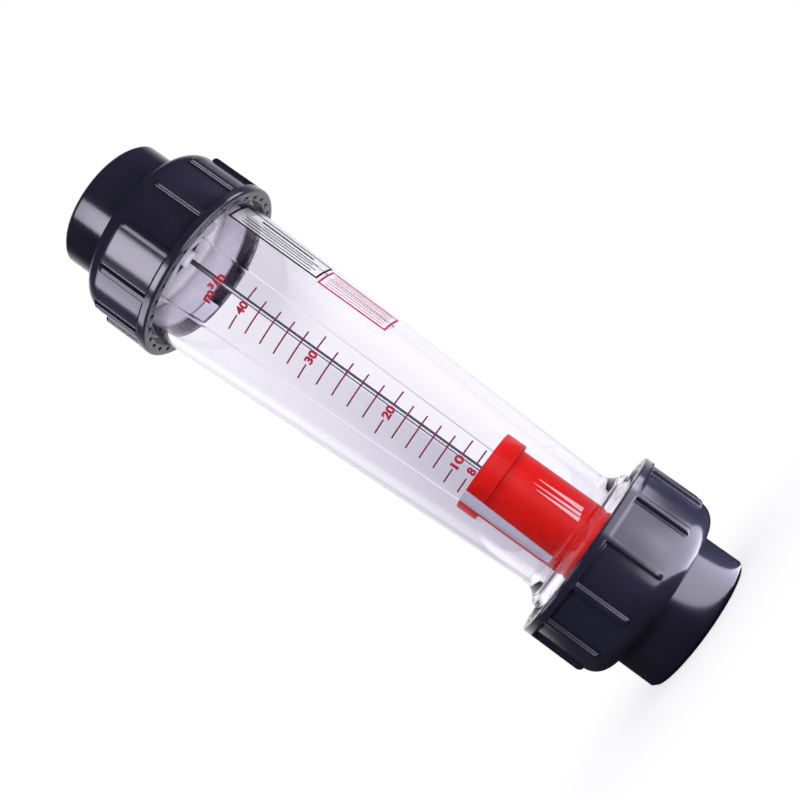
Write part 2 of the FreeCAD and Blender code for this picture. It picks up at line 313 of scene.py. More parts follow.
# %% [markdown]
# ## Lamps
# Dark glossy plastic shows little but what it mirrors, so the lamps are placed by what each
# part has to mirror. A wide soft box high on the left draws the pale patch on the upper nut
# and socket. A low one on the right does the same for the lower nut, and a panel on the floor
# for the lower socket. A box on each side draws the bands further round. The bright line on
# the rod, the sheen of the float and the white parts inside the tube have a box each. The two
# key lamps light the rest, which is above all the print.

# %% Lamps
LILAC, WARM_WHITE = "#f0ecff", "#fdfaf6"


def soft_box(name, at, aim, size, watts, colour="#ffffff"):
    """A rectangular soft box that faces the point aim. Places and sizes are in metres."""
    data = bpy.data.lights.new(name, "AREA")
    data.color = linear(colour)[:3]
    data.shape = "RECTANGLE"
    data.size, data.size_y = size
    data.energy = watts
    lamp = new_object(name, data)
    direction = Vector(aim) - Vector(at)
    lamp.matrix_world = (Matrix.Translation(Vector(at))
                         @ direction.to_track_quat("-Z", "Y").to_matrix().to_4x4())
    lamp.visible_camera = False
    return lamp


gloss_lamps = [
    soft_box("left_box", (-0.66, -0.88, 0.82), (0, 0, 0.42), (0.62, 0.34), 8.0, LILAC),
    soft_box("right_box", (0.43, -0.32, 0.13), (0, 0, 0.08), (0.75, 0.26), 2.3, LILAC),
    soft_box("floor_panel", (0.23, -0.215, 0.004), (0.23, -0.205, 1.0), (0.40, 0.40), 3.7,
             LILAC),
    soft_box("side_box", (1.10, 0.05, 0.26), (0, 0, 0.26), (0.45, 0.9), 12.0, LILAC)]
nut_box = soft_box("left_side_box", (-0.90, -0.12, 0.60), (0, 0, 0.42), (0.6, 0.6), 6.5,
                   LILAC)
rod_strip = soft_box("rod_strip", (-0.42, -0.79, 0.40), (0, 0, 0.27), (0.3, 0.5), 48.0)
inner_box = soft_box("inner_box", (-0.05, -0.80, 0.05), (0, 0, 0.40), (0.5, 0.3), 12.0,
                     WARM_WHITE)
float_box = soft_box("float_box", (0.42, -0.78, 0.06), (0, 0, 0.13), (0.35, 0.35), 4.2)
key_box = soft_box("key_box", (0.70, -0.75, 1.00), (0, 0, 0.2), (0.7, 0.7), 9.0)
low_front_box = soft_box("low_front_box", (-0.10, -0.95, 0.10), (0, 0, 0.35), (0.5, 0.3),
                         8.0)

# %% [markdown]
# ## Dark UPVC
# The nuts and the sockets are moulded from dark grey UPVC. It is nearly black with a blue
# cast, and it has the soft gloss of a polished mould: a smooth reflection that breaks up a
# little, because the wall sinks and ripples as it cools. A sharp moulded edge is never quite
# sharp, so a bevel node rounds the edges for the light.

# %% Dark UPVC


def set_tones(ramp, dark, light, low=0.0, high=1.0):
    """All dark where the ramp's input is under low, and all light where it is over high."""
    for stop, colour, at in zip(ramp.color_ramp.elements, (dark, light), (low, high)):
        stop.color = linear(colour)
        stop.position = at


def dress(node_names, material):
    """Gives each named part of the frame one material."""
    for name in node_names:
        part = nodes[name]
        part.data.materials.clear()
        part.data.materials.append(material)
    print(material.name, "on", ", ".join(node_names))


def dark_upvc():
    """UPVC out of a polished mould: nearly black, with a soft gloss that is a little broken."""
    material, tree = new_material("dark_grey_moulded_upvc")
    place = add(tree, "ShaderNodeTexCoord").outputs["Object"]
    edge = add(tree, "ShaderNodeBevel", {"Radius": 2.2 * MM}, samples=8)
    # slow ripples 9 mm across, left as the thick wall cools
    ripple = add(tree, "ShaderNodeTexNoise", {"Vector": place, "Scale": 1 / (9 * MM),
                                              "Detail": 2.0, "Roughness": 0.4})
    waves = add(tree, "ShaderNodeBump", {"Strength": 0.25, "Distance": 0.10 * MM,
                                         "Height": ripple, "Normal": edge})
    # a fine texture 0.8 mm across, coarser than the real one so that it shows
    texture = add(tree, "ShaderNodeTexNoise", {"Vector": place, "Scale": 1 / (0.8 * MM),
                                               "Detail": 3.0})
    grain = add(tree, "ShaderNodeBump", {"Strength": 0.10, "Distance": 0.02 * MM,
                                         "Height": texture, "Normal": waves})
    sheen = add(tree, "ShaderNodeMapRange", {"Value": texture, "To Min": 0.12,
                                             "To Max": 0.20})
    # the grey itself drifts a little over 35 mm
    cloud = add(tree, "ShaderNodeTexNoise", {"Vector": place, "Scale": 1 / (35 * MM),
                                             "Detail": 3.0})
    tone = add(tree, "ShaderNodeValToRGB", {"Fac": cloud})
    set_tones(tone, "#181723", "#201f2b", 0.3, 0.7)
    shader = add(tree, "ShaderNodeBsdfPrincipled", {
        "Base Color": tone, "Roughness": sheen, "IOR": 1.54, "Specular IOR Level": 0.45,
        "Normal": grain})
    add(tree, "ShaderNodeOutputMaterial", {"Surface": shader})
    return material


dark_parts = ["lower_pipe_socket", "upper_pipe_socket", "lower_union_nut",
              "upper_union_nut"]
dress(dark_parts, dark_upvc())

# %% [markdown]
# ## Red float
# The float is moulded in bright red ABS, so that it can be read from across a room. Behind a
# clear wall a strong gloss of its own would only blur its outline, and the real one is even and
# nearly matt. So the gloss is turned well down, and a fine bump breaks up what is left.

# %% Red float


def red_abs():
    """ABS out of a finely eroded mould: an even bright red with hardly any gloss."""
    material, tree = new_material("red_moulded_abs")
    place = add(tree, "ShaderNodeTexCoord").outputs["Object"]
    cloud = add(tree, "ShaderNodeTexNoise", {"Vector": place, "Scale": 1 / (14 * MM),
                                             "Detail": 3.0})
    tone = add(tree, "ShaderNodeValToRGB", {"Fac": cloud})
    set_tones(tone, "#d80a04", "#e41408", 0.3, 0.7)
    # mould texture 0.5 mm across
    texture = add(tree, "ShaderNodeTexNoise", {"Vector": place, "Scale": 1 / (0.5 * MM),
                                               "Detail": 2.0})
    edge = add(tree, "ShaderNodeBevel", {"Radius": 0.5 * MM}, samples=4)
    grain = add(tree, "ShaderNodeBump", {"Strength": 0.12, "Distance": 0.02 * MM,
                                         "Height": texture, "Normal": edge})
    shader = add(tree, "ShaderNodeBsdfPrincipled", {
        "Base Color": tone, "Roughness": 0.42, "IOR": 1.52, "Specular IOR Level": 0.12,
        "Normal": grain})
    add(tree, "ShaderNodeOutputMaterial", {"Surface": shader})
    return material


dress(["float_body", "float_base_plug"], red_abs())

# %% [markdown]
# ## Steel rod
# The rod, its nuts and washers and the weight in the float are stainless steel. A metal has no
# colour under its gloss: it is all reflection, tinted grey. The marks of grinding run round
# the rod, so the noise is stretched by a Mapping node, where an image would show a seam.

# %% Steel rod


def ground_steel():
    """Ground stainless steel: a grey that brightens to one soft line along the rod."""
    material, tree = new_material("ground_stainless_steel")
    place = add(tree, "ShaderNodeTexCoord").outputs["Object"]
    # grinding marks 0.3 mm apart along Z, stretched round the rod
    drawn = add(tree, "ShaderNodeMapping", {"Vector": place, "Scale": (0.15, 0.15, 1.0)})
    texture = add(tree, "ShaderNodeTexNoise", {"Vector": drawn, "Scale": 1 / (0.3 * MM),
                                               "Detail": 4.0})
    tone = add(tree, "ShaderNodeValToRGB", {"Fac": texture})
    set_tones(tone, "#424248", "#5a5a60")
    grain = add(tree, "ShaderNodeBump", {"Strength": 0.08, "Distance": 0.01 * MM,
                                         "Height": texture})
    shader = add(tree, "ShaderNodeBsdfPrincipled", {
        "Base Color": tone, "Metallic": 1.0, "Roughness": 0.5, "Normal": grain})
    add(tree, "ShaderNodeOutputMaterial", {"Surface": shader})
    return material


dress(["guide_rod", "lower_rod_washer", "upper_rod_washer", "lower_rod_nut",
       "upper_rod_nut", "float_weight"], ground_steel())

# %% [markdown]
# ## Rubber and white plastics
# The O-rings are black EPDM rubber and the bumpers milky silicone. The brackets are white POM
# and the bushes PTFE, two slippery plastics that wear well on a rod. All four look alike but
# for their colour, gloss and grain, so one function makes them.

# %% Rubber and white plastics


def moulded_in(name, dark, light, roughness, grain_mm):
    """Rubber or plain plastic with a fine grain, which takes the edge off its gloss."""
    material, tree = new_material(name)
    place = add(tree, "ShaderNodeTexCoord").outputs["Object"]
    texture = add(tree, "ShaderNodeTexNoise", {"Vector": place,
                                               "Scale": 1 / (grain_mm * MM), "Detail": 3.0})
    tone = add(tree, "ShaderNodeValToRGB", {"Fac": texture})
    set_tones(tone, dark, light)
    grain = add(tree, "ShaderNodeBump", {"Strength": 0.3, "Distance": 0.03 * MM,
                                         "Height": texture})
    shader = add(tree, "ShaderNodeBsdfPrincipled", {
        "Base Color": tone, "Roughness": roughness, "Normal": grain})
    add(tree, "ShaderNodeOutputMaterial", {"Surface": shader})
    return material


bumpers = ["lower_stop_bumper", "upper_stop_bumper"]
brackets = ["lower_rod_bracket", "upper_rod_bracket"]
dress(["lower_o_ring", "upper_o_ring"],
      moulded_in("black_epdm_rubber", "#0c0c0d", "#1b1b1c", 0.65, 0.6))
dress(bumpers, moulded_in("milky_silicone_rubber", "#d2d0dc", "#e2e0ea", 0.5, 1.5))
dress(brackets, moulded_in("white_moulded_pom", "#e4e2ea", "#f0eef4", 0.4, 1.0))
dress(["float_lower_bush", "float_upper_bush"],
      moulded_in("white_turned_ptfe", "#dcdad4", "#eeece6", 0.45, 0.4))

# %% [markdown]
# ## The clear tube
# The tube is moulded in clear acrylic. Its look is all in what it bends: the bright edges, the
# dark rims near the nuts and the way the far rim of each nut swims in the wall. That needs a
# smooth inner and outer wall, so the tube is turned again here from its section, with rounded
# corners and a few hundred steps, because a faceted wall would break every line seen through
# it. From inside, its flanks mirror the light back, which is why the ends of the tube look
# bright though a black nut is all round them.

# %% The tube's section
TUBE_FOOT, TUBE_TOP = 49.2, 412.8                   # heights in mm, as all the others here
LOW_COLLAR_TOP, HIGH_COLLAR_FOOT = 81.5, 387.0
SEAT_R, COLLAR_R = 50.3, 55.9
CORE_R = 54.1                                       # of the collars, under their thread
NECK_R, NECK_TOP = 49.4, 87.3                       # between the lower collar and the flare
CHAMBER_R, CHAMBER_FOOT, CHAMBER_TOP = 43.5, 57.2, 84.5
# outside and inside of the cone, as (radius, height)
TAPER_FOOT, TAPER_TOP = (40.2, 93.5), (53.2, HIGH_COLLAR_FOOT)
BORE_FOOT, BORE_TOP = (33.0, 92.0), (48.5, 404.8)
ARC_STEPS = 9
ROW_BY_ARC = 0.3        # mm from each arc to a row of points that keeps its shading short

# corners of the section as (radius, height, how round), anticlockwise from the foot
TUBE_SECTION = [
    (SEAT_R, TUBE_FOOT, 0.4), (CORE_R, TUBE_FOOT, 0.8), (CORE_R, LOW_COLLAR_TOP, 0.4),
    (NECK_R, LOW_COLLAR_TOP, 0.8), (NECK_R, NECK_TOP, 4.5), (*TAPER_FOOT, 12.0),
    (*TAPER_TOP, 0.1), (CORE_R, HIGH_COLLAR_FOOT, 0.1), (CORE_R, TUBE_TOP, 0.8),
    (SEAT_R, TUBE_TOP, 0.4), (SEAT_R, BORE_TOP[1], 0.4), (*BORE_TOP, 0.4),
    (*BORE_FOOT, 14.0), (CHAMBER_R, CHAMBER_TOP, 7.0), (CHAMBER_R, CHAMBER_FOOT, 0.4),
    (SEAT_R, CHAMBER_FOOT, 0.4)]


def rounded(corners):
    """The section with an arc at each corner, and a row of points just past each arc."""
    points = []
    for i, (r, z, radius) in enumerate(corners):
        here = Vector((r, z))
        before = (Vector(corners[i - 1][:2]) - here).normalized()
        after = (Vector(corners[(i + 1) % len(corners)][:2]) - here).normalized()
        half = before.angle(after) / 2
        cut = radius / math.tan(half)
        row = cut + min(ROW_BY_ARC, radius / 2)
        centre = here + (before + after).normalized() * (radius / math.sin(half))
        start, end = here + before * cut - centre, here + after * cut - centre
        sweep = math.pi - 2 * half
        turn = sweep if start.x * end.y - start.y * end.x > 0 else -sweep
        points.append(here + before * row)
        for step in range(ARC_STEPS + 1):
            angle = turn * step / ARC_STEPS
            c, s = math.cos(angle), math.sin(angle)
            points.append(centre + Vector((start.x * c - start.y * s,
                                           start.x * s + start.y * c)))
        points.append(here + after * row)
    return points


section = rounded(TUBE_SECTION)
print("points round the tube's section:", len(section))

# %% [markdown]
# ## Turn the section
# Each point of the section becomes a ring of points round the axis, and each ring is joined to
# the next. Two low ribs run along the bore, where the halves of the mould's core met. They show
# as two fine lines along the tube, so the rings have extra points there.

# %% Turn the section, with the two ribs in the bore
BORE_SLOPE = 0.0496                 # how fast the bore widens on the way up
RIB_START = BORE_FOOT[1] + 7.5      # the ribs begin above the rounded foot of the bore
RIB_AT = (-18.0, 36.0)              # degrees from -Y towards -X
RIB_SHAPE = [(-1.0, 0), (-0.75, 0.05), (-0.4, 0.17), (0, 0.24), (0.4, 0.17),
             (0.75, 0.05), (1.0, 0)]    # mm across the rib, mm high
STEPS_BETWEEN = (40, 220)           # to the next rib, and from there on round to the first
NEAR_BORE, A_LITTLE = 1.0, 0.01     # mm of play, to tell which points are in the bore


def place(r, angle, z):
    """A point at this radius and height, turned from -Y towards -X."""
    return (-r * math.sin(angle) * MM, -r * math.cos(angle) * MM, z * MM)


def bore_radius(z):
    return BORE_FOOT[0] + (z - BORE_FOOT[1]) * BORE_SLOPE


def around(r, z):
    """Points round the tube at one height, which follow the ribs where r is in the bore."""
    in_bore = RIB_START < z < BORE_TOP[1] + A_LITTLE and r < bore_radius(z) + NEAR_BORE
    points = []
    for rib, following, steps in zip(RIB_AT, (RIB_AT[1], RIB_AT[0] + 360), STEPS_BETWEEN):
        first = math.radians(rib)
        for across, high in RIB_SHAPE:
            points.append((r - high * in_bore, first + across / r))
        start = first + RIB_SHAPE[-1][0] / r
        end = math.radians(following) + RIB_SHAPE[0][0] / r
        points += [(r, start + (end - start) * step / steps) for step in range(1, steps)]
    return [place(rr, a, z) for rr, a in points]


def closed_mesh(name, bm):
    """The mesh that was built in bm, with all its faces turned outwards."""
    bmesh.ops.recalc_face_normals(bm, faces=bm.faces)
    mesh = bpy.data.meshes.new(name)
    bm.to_mesh(mesh)
    bm.free()
    return mesh


def skin(name, rows):
    """A closed object from rings of points, each joined to the next and the last to the
    first."""
    bm = bmesh.new()
    rings = [[bm.verts.new(p) for p in row] for row in rows]
    for i, ring in enumerate(rings):
        above = rings[(i + 1) % len(rings)]
        for j in range(len(ring)):
            k = (j + 1) % len(ring)
            bm.faces.new((ring[j], ring[k], above[k], above[j])).smooth = True
    return new_object(name, closed_mesh(name, bm))


tube = skin("clear_tube", [around(r, z) for r, z in section])
print("tube faces:", len(tube.data.polygons))

# %% [markdown]
# ## The threads
# Each collar carries the thread for its nut. In the tube's section the collars are as slim as
# the thread's root, and the thread is a skin round them, so that it can be dull while the tube
# is clear. A Screw modifier would sweep its profile too, but a radius that follows a wave of
# the height and of the turn round the axis can fade out at both ends of the thread.

# %% The thread on a collar
THREAD_PITCH, THREAD_STARTS, THREAD_DEPTH = 3.0, 2, 1.5
ROWS_PER_PITCH, AROUND = 8, 200
SLEEVE_R = CORE_R + 0.05            # just clear of the collar
LOWER_THREAD, UPPER_THREAD = (49.4, LOW_COLLAR_TOP), (HIGH_COLLAR_FOOT, 412.6)  # foot, top


def thread_sleeve(name, low, high):
    """The threaded skin of one collar. The thread runs out at both of its ends."""
    rows_up = round((high - low) / (THREAD_PITCH / ROWS_PER_PITCH))
    heights = [low + (high - low) * i / rows_up for i in range(rows_up + 1)]
    turns = [2 * math.pi * i / AROUND for i in range(AROUND)]
    rows = []
    for z in heights:
        run_out = min(1.0, (z - low) / THREAD_PITCH, (high - z) / THREAD_PITCH)
        depth = THREAD_DEPTH * run_out
        rows.append([place(COLLAR_R - depth * (0.5 + 0.5 * math.cos(
            2 * math.pi * z / THREAD_PITCH - a * THREAD_STARTS)), a, z) for a in turns])
    rows += [[place(SLEEVE_R, a, z) for a in turns] for z in (high, low)]
    sleeve = skin(name, rows)
    for face in sleeve.data.polygons:
        face.use_smooth = abs(face.normal.z) < 0.99     # the flat ends stay flat
    return sleeve


sleeves = [thread_sleeve("lower_thread", *LOWER_THREAD),
           thread_sleeve("upper_thread", *UPPER_THREAD)]
print("thread faces:", [len(o.data.polygons) for o in sleeves])

# %% [markdown]
# ## Painted light on the bore
# A grey band and three pale streaks near the bore's foot lie over the float. The band is
# painted reflection, a stand-in for light that the wall reflects, and the streaks are painted
# highlights.
# A pale patch at the bore's top on the far side is painted light too: it brightens the dark far
# rim of the nut seen there. They could be a pattern in the wall's own material, but as thin
# solids just off the bore they leave the wall plain clear glass, which renders clean.

# %% The painted light on the bore
# each is (height, first edge, last edge) at its top and at its foot, in mm and degrees
# painted reflection: a grey band over the float, a stand-in for light reflected off the wall
REFLECTION_PAINT_BAND = [((159.4, 24.3, 36.4), (93.5, 30.4, 39.6))]
# painted highlights: three pale streaks near the float's foot
HIGHLIGHT_PAINT_STREAKS = [((126.0, -14.4, -14.0), (94.0, -17.2, -13.0)),
           ((129.0, -18.3, -17.9), (95.0, -21.6, -18.1)),
           ((128.0, -24.2, -23.8), (96.0, -28.0, -23.0))]
# painted light: a pale patch that brightens the dark far rim of the upper nut
RIM_LIGHT_PAINT_PATCH = [((384.6, 139.0, 162.0), (375.5, 139.0, 162.0))]
MARK_OUT, MARK_IN = 0.10, 0.18      # mm off the bore, at the mark's back and its face
MARK_STEPS = 12


def flow_marks(name, patches):
    """Thin patches of painted light on the bore, as one object."""
    bm = bmesh.new()
    for patch in patches:
        loops = []
        for z, start, end in patch:
            angles = [math.radians(start + (end - start) * i / MARK_STEPS)
                      for i in range(MARK_STEPS + 1)]
            back = [bm.verts.new(place(bore_radius(z) - MARK_OUT, a, z)) for a in angles]
            face = [bm.verts.new(place(bore_radius(z) - MARK_IN, a, z)) for a in angles]
            loops.append(back + face[::-1])
            bm.faces.new(loops[-1])
        for i in range(len(loops[0])):
            j = (i + 1) % len(loops[0])
            bm.faces.new((loops[0][i], loops[0][j], loops[1][j], loops[1][i]))
    made = new_object(name, closed_mesh(name, bm))
    made.visible_shadow = False
    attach(made, "tube_assembly")
    return made


painted_band = flow_marks("painted_reflection_strip", REFLECTION_PAINT_BAND)
painted_streaks = flow_marks("painted_highlight_streaks", HIGHLIGHT_PAINT_STREAKS)
painted_veil = flow_marks("painted_light_patch", RIM_LIGHT_PAINT_PATCH)
print("flow mark faces:", [len(o.data.polygons) for o in (painted_band, painted_streaks, painted_veil)])

# %% [markdown]
# ## Clear acrylic
# To the renderer the wall is smooth glass with the refraction of acrylic, 1.49. Light that
# goes on to cast a shadow is let nearly straight through instead, because a glass shader
# would give the meter the black shadow of a solid pipe.

# %% Clear acrylic


def clear_acrylic():
    """Polished acrylic: clear as water, and bright or dark only where it bends the light."""
    material, tree = new_material("clear_moulded_acrylic")
    clear = add(tree, "ShaderNodeBsdfGlass", {"Color": linear("#fdfcff"), "Roughness": 0.0,
                                              "IOR": 1.49})
    open_way = add(tree, "ShaderNodeBsdfTransparent", {"Color": linear("#fafafd")})
    shadow = add(tree, "ShaderNodeLightPath").outputs["Is Shadow Ray"]
    mix = add(tree, "ShaderNodeMixShader", {0: shadow, 1: clear, 2: open_way})
    add(tree, "ShaderNodeOutputMaterial", {"Surface": mix})
    return material


tube.data.materials.append(clear_acrylic())
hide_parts("measuring_tube")
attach(tube, "tube_assembly")
print(tube.data.materials[0].name, "on the tube")

# %% [markdown]
# ## Painted light films and frosted acrylic
# Each piece of painted light is a patchy film that covers what is behind it only in part,
# which Alpha does without bending the light once more. The thread comes dull out of the mould,
# and scatters what light reaches it, so it is drawn as a white stuff instead of as glass.

# %% Painted light films and frosted acrylic


def patchy(name, dark, light, patch_mm, looks, low=0.0, high=1.0):
    """Stuff that varies softly between two tones, in patches about this many mm across.
    The looks are the rest of the shader's inputs."""
    material, tree = new_material(name)
    place = add(tree, "ShaderNodeTexCoord").outputs["Object"]
    patches = add(tree, "ShaderNodeTexNoise", {"Vector": place,
                                               "Scale": 1 / (patch_mm * MM), "Detail": 2.0})
    tone = add(tree, "ShaderNodeValToRGB", {"Fac": patches})
    set_tones(tone, dark, light, low, high)
    shader = add(tree, "ShaderNodeBsdfPrincipled", {"Base Color": tone, **looks})
    add(tree, "ShaderNodeOutputMaterial", {"Surface": shader})
    return material


def dull_acrylic(name, dark, light, cover):
    """A film of painted light, patchy over about 4 mm, which hides this share of what is behind
    it.
    """
    return patchy(name, dark, light, 4.0, {"Roughness": 0.6, "Alpha": cover})


# painted light films: a grey painted reflection, pale pink painted highlights, a pale grey veil
painted_band.data.materials.append(dull_acrylic("dull_acrylic", "#9a97a6", "#aaa7b6", 0.92))
painted_streaks.data.materials.append(
    dull_acrylic("painted_highlight_film", "#dcccd0", "#f0e0e4", 0.38))
painted_veil.data.materials.append(dull_acrylic("painted_rim_brightener", "#b4b2c0", "#c4c2d0", 0.75))
frosted = patchy("frosted_acrylic_thread", "#d6d6de", "#eeeef2", 5.0, {"Roughness": 0.6})
for sleeve in sleeves:
    sleeve.data.materials.append(frosted)
    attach(sleeve, "tube_assembly")
print("frosted and painted light pieces:", [o.name for o in (*sleeves, painted_band, painted_streaks, painted_veil)])

# %% [markdown]
# ## Which lamp lights what
# A soft box would show as a hard white shape in the clear wall. So each one lights only the
# pieces that it is there for, as if it was flagged off from the rest: the dark plastic and
# the rod, the two nuts, the rod, the float, or what is white inside the tube. The two key
# lamps light all but the clear tube, its threads, the floor and the dark plastic, and the low
# one leaves out the float as well. The clear wall itself shows only the sky and the floor.

# %% Link the lamps


def link_lamp(lamp, pieces, how):
    group = bpy.data.collections.new(lamp.name + "_links")
    for piece in pieces:
        group.objects.link(piece)
    lamp.light_linking.receiver_collection = group
    for linked in group.collection_objects:
        linked.light_linking.link_state = how
    print(lamp.name, how, [piece.name for piece in pieces])


dark = [nodes[n] for n in dark_parts]
white = [nodes[n] for n in bumpers + brackets]
rod, float_body = nodes["guide_rod"], nodes["float_body"]
for lamp in gloss_lamps:
    link_lamp(lamp, dark + [rod], "INCLUDE")
link_lamp(nut_box, [nodes["lower_union_nut"], nodes["upper_union_nut"]], "INCLUDE")
link_lamp(rod_strip, [rod], "INCLUDE")
link_lamp(float_box, [float_body], "INCLUDE")
link_lamp(inner_box, sleeves + [painted_veil] + white, "INCLUDE")
link_lamp(key_box, [tube, floor] + sleeves + dark, "EXCLUDE")
link_lamp(low_front_box, [tube, floor, float_body] + sleeves + dark, "EXCLUDE")

# %% [markdown]
# ## Print on a tapered tube
# Ticks, numbers and labels are drawn flat and then wrapped on the tube, as a transfer is laid
# on by hand. One node group does the wrapping: a flat point is so far along the arc, so far
# proud of the surface and at some height, and the group moves it to its place on the cone.
# Whatever goes through it comes out as a thin solid a little above the tube. An image would
# be less work, but it would blur in a close view, and the slope would stretch it.

# %% The wrapping group
SLOPE = (TAPER_TOP[0] - TAPER_FOOT[0]) / (TAPER_TOP[1] - TAPER_FOOT[1])


def new_tree(name, sizes):
    """A geometry node tree with a geometry socket and named number inputs."""
    tree = bpy.data.node_groups.new(name, "GeometryNodeTree")
    tree.interface.new_socket("Geometry", in_out="INPUT", socket_type="NodeSocketGeometry")
    tree.interface.new_socket("Geometry", in_out="OUTPUT", socket_type="NodeSocketGeometry")
    for size, value in sizes.items():
        made = tree.interface.new_socket(size, in_out="INPUT", socket_type="NodeSocketFloat")
        made.default_value = value
    return tree, add(tree, "NodeGroupInput").outputs


def make_wrapping():
    """Flat x is the way along the arc to +X, -y is proud of the surface, z is the height."""
    tree, given = new_tree("wrap_on_cone", {
        "Foot radius": TAPER_FOOT[0] * MM, "Foot height": TAPER_FOOT[1] * MM,
        "Slope": SLOPE, "Turned": 0.0})
    flat = add(tree, "GeometryNodeInputPosition")
    x, y, z = add(tree, "ShaderNodeSeparateXYZ", {0: flat}).outputs
    above = add(tree, "ShaderNodeMath", {0: z, 1: given["Foot height"]},
                operation="SUBTRACT")
    wider = add(tree, "ShaderNodeMath", {0: above, 1: given["Slope"]}, operation="MULTIPLY")
    surface = add(tree, "ShaderNodeMath", {0: wider, 1: given["Foot radius"]},
                  operation="ADD")
    radius = add(tree, "ShaderNodeMath", {0: surface, 1: y}, operation="SUBTRACT")
    arc = add(tree, "ShaderNodeMath", {0: x, 1: surface}, operation="DIVIDE")
    angle = add(tree, "ShaderNodeMath", {0: arc, 1: given["Turned"]}, operation="SUBTRACT")
    sine = add(tree, "ShaderNodeMath", {0: angle}, operation="SINE")
    cosine = add(tree, "ShaderNodeMath", {0: angle}, operation="COSINE")
    to_right = add(tree, "ShaderNodeMath", {0: radius, 1: sine}, operation="MULTIPLY")
    to_front = add(tree, "ShaderNodeMath", {0: radius, 1: cosine}, operation="MULTIPLY")
    to_back = add(tree, "ShaderNodeMath", {0: to_front, 1: -1.0}, operation="MULTIPLY")
    wrapped = add(tree, "ShaderNodeCombineXYZ", {"X": to_right, "Y": to_back, "Z": z})
    moved = add(tree, "GeometryNodeSetPosition", {"Geometry": given["Geometry"],
                                                  "Position": wrapped})
    add(tree, "NodeGroupOutput", {"Geometry": moved})
    return tree


wrapping = make_wrapping()
print("the tube widens by", round(SLOPE * 100, 2), "mm in 100 mm")

# %% [markdown]
# ## From a flat drawing to a piece
# A flat mesh is given the node tree as a modifier, and its result is kept as a plain mesh of
# its own, because an export drops what is only an instance. The piece then rides on the tube.

# %% Through the nodes


def through(name, mesh, tree, material, **sizes):
    """The mesh after the tree has worked on it, as a plain object on the tube's body."""
    flat = new_object(name + "_flat", mesh)
    modifier = flat.modifiers.new("nodes", "NODES")
    modifier.node_group = tree
    sockets = {s.name: s.identifier for s in tree.interface.items_tree
               if s.in_out == "INPUT"}
    for size, value in sizes.items():
        modifier[sockets[size.replace("_", " ").capitalize()]] = value
    if "Material" in sockets:
        modifier[sockets["Material"]] = material
    view = bpy.context.evaluated_depsgraph_get()
    result = bpy.data.meshes.new_from_object(flat.evaluated_get(view), depsgraph=view)
    bpy.data.objects.remove(flat)
    result.materials.clear()
    result.materials.append(material)
    piece = new_object(name, result)
    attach(piece, "tube_assembly")
    print(name, "faces:", len(result.polygons))


print("inputs of the wrapping:", [s.name for s in wrapping.interface.items_tree
                                  if s.in_out == "INPUT"])

# %% [markdown]
# ## Inks and film
# The print is screen ink: flat, slightly soft at the surface, and thick enough to be opaque.
# The ticks are a dark crimson and the numbers a brighter red. The two labels are clear
# polyester film, framed in black and in pink, with plain ruled lines. The ink takes unevenly
# over about 1.5 mm, and the glue under the film lies in soft streaks about 4 mm across.

# %% Inks and film
INK_LOOKS = {"Roughness": 0.65, "Specular IOR Level": 0.25}
INK_COLOURS = {"crimson": ("#5c0434", "#740a46"), "red": ("#88001e", "#a2062a"),
               "black": ("#050408", "#0c0a12"), "grey": ("#2c2a32", "#3a3842"),
               "pink": ("#b01850", "#c43468")}
inks = {colour: patchy(f"{colour}_screen_ink", *tones, 1.5, INK_LOOKS, 0.35, 0.65)
        for colour, tones in INK_COLOURS.items()}
film = patchy("clear_polyester_film", "#f4f4f8", "#ffffff", 4.0,
              {"Roughness": 0.2, "Alpha": 0.22})
print("inks:", ", ".join(inks))

# %% [markdown]
# ## The scale
# The ticks follow a rule, so Geometry Nodes make them: one bar on each point of a small mesh,
# as long as the point says, then wrapped on the cone. The float doesn't rise quite in step
# with the flow, so the marks aren't evenly spaced and their heights are a list. A numbered mark
# is two bars, with the number in the gap between them.

# %% Ticks by Geometry Nodes
MARKS = {40: 332.6, 38: 322.4, 36: 311.4, 34: 301.0, 32: 290.6, 30: 280.4, 28: 268.7,
         26: 257.2, 24: 245.8, 22: 234.3, 20: 222.95, 18: 212.8, 16: 202.7, 14: 192.6,
         12: 182.5, 10: 172.5, 8: 162.5}      # flow to height in mm
NUMBERED = (8, 10, 20, 30, 40)
SHORT_TICK, LONG_TICK, NUMBER_GAP = 23.7, 31.0, 10.5
TICK_WIDTH, TICK_DEPTH = 1.0, 0.16
TICK_POINTS = 13                              # along a bar, so that it can bend
SCALE_TURNED = math.radians(6.5)              # of the scale's middle, from -Y towards -X


def make_ticks_tree():
    tree, given = new_tree("ticks_on_cone", {"Line width": TICK_WIDTH * MM,
                                             "Ink depth": TICK_DEPTH * MM, "Turned": 0.0})
    tree.interface.new_socket("Material", in_out="INPUT", socket_type="NodeSocketMaterial")
    size = add(tree, "ShaderNodeCombineXYZ", {"X": 1.0, "Y": given["Ink depth"],
                                              "Z": given["Line width"]})
    bar = add(tree, "GeometryNodeMeshCube", {"Size": size, "Vertices X": TICK_POINTS})
    length = add(tree, "GeometryNodeInputNamedAttribute", {"Name": "length"},
                 data_type="FLOAT").outputs["Attribute"]
    scale = add(tree, "ShaderNodeCombineXYZ", {"X": length, "Y": 1.0, "Z": 1.0})
    bars = add(tree, "GeometryNodeInstanceOnPoints", {
        "Points": given["Geometry"], "Instance": bar, "Scale": scale})
    solid = add(tree, "GeometryNodeRealizeInstances", {"Geometry": bars})
    wrapped = add(tree, "GeometryNodeGroup", node_tree=wrapping)
    tree.links.new(solid.outputs[0], wrapped.inputs["Geometry"])
    tree.links.new(given["Turned"], wrapped.inputs["Turned"])
    inked = add(tree, "GeometryNodeSetMaterial", {"Geometry": wrapped,
                                                  "Material": given["Material"]})
    add(tree, "NodeGroupOutput", {"Geometry": inked})
    return tree


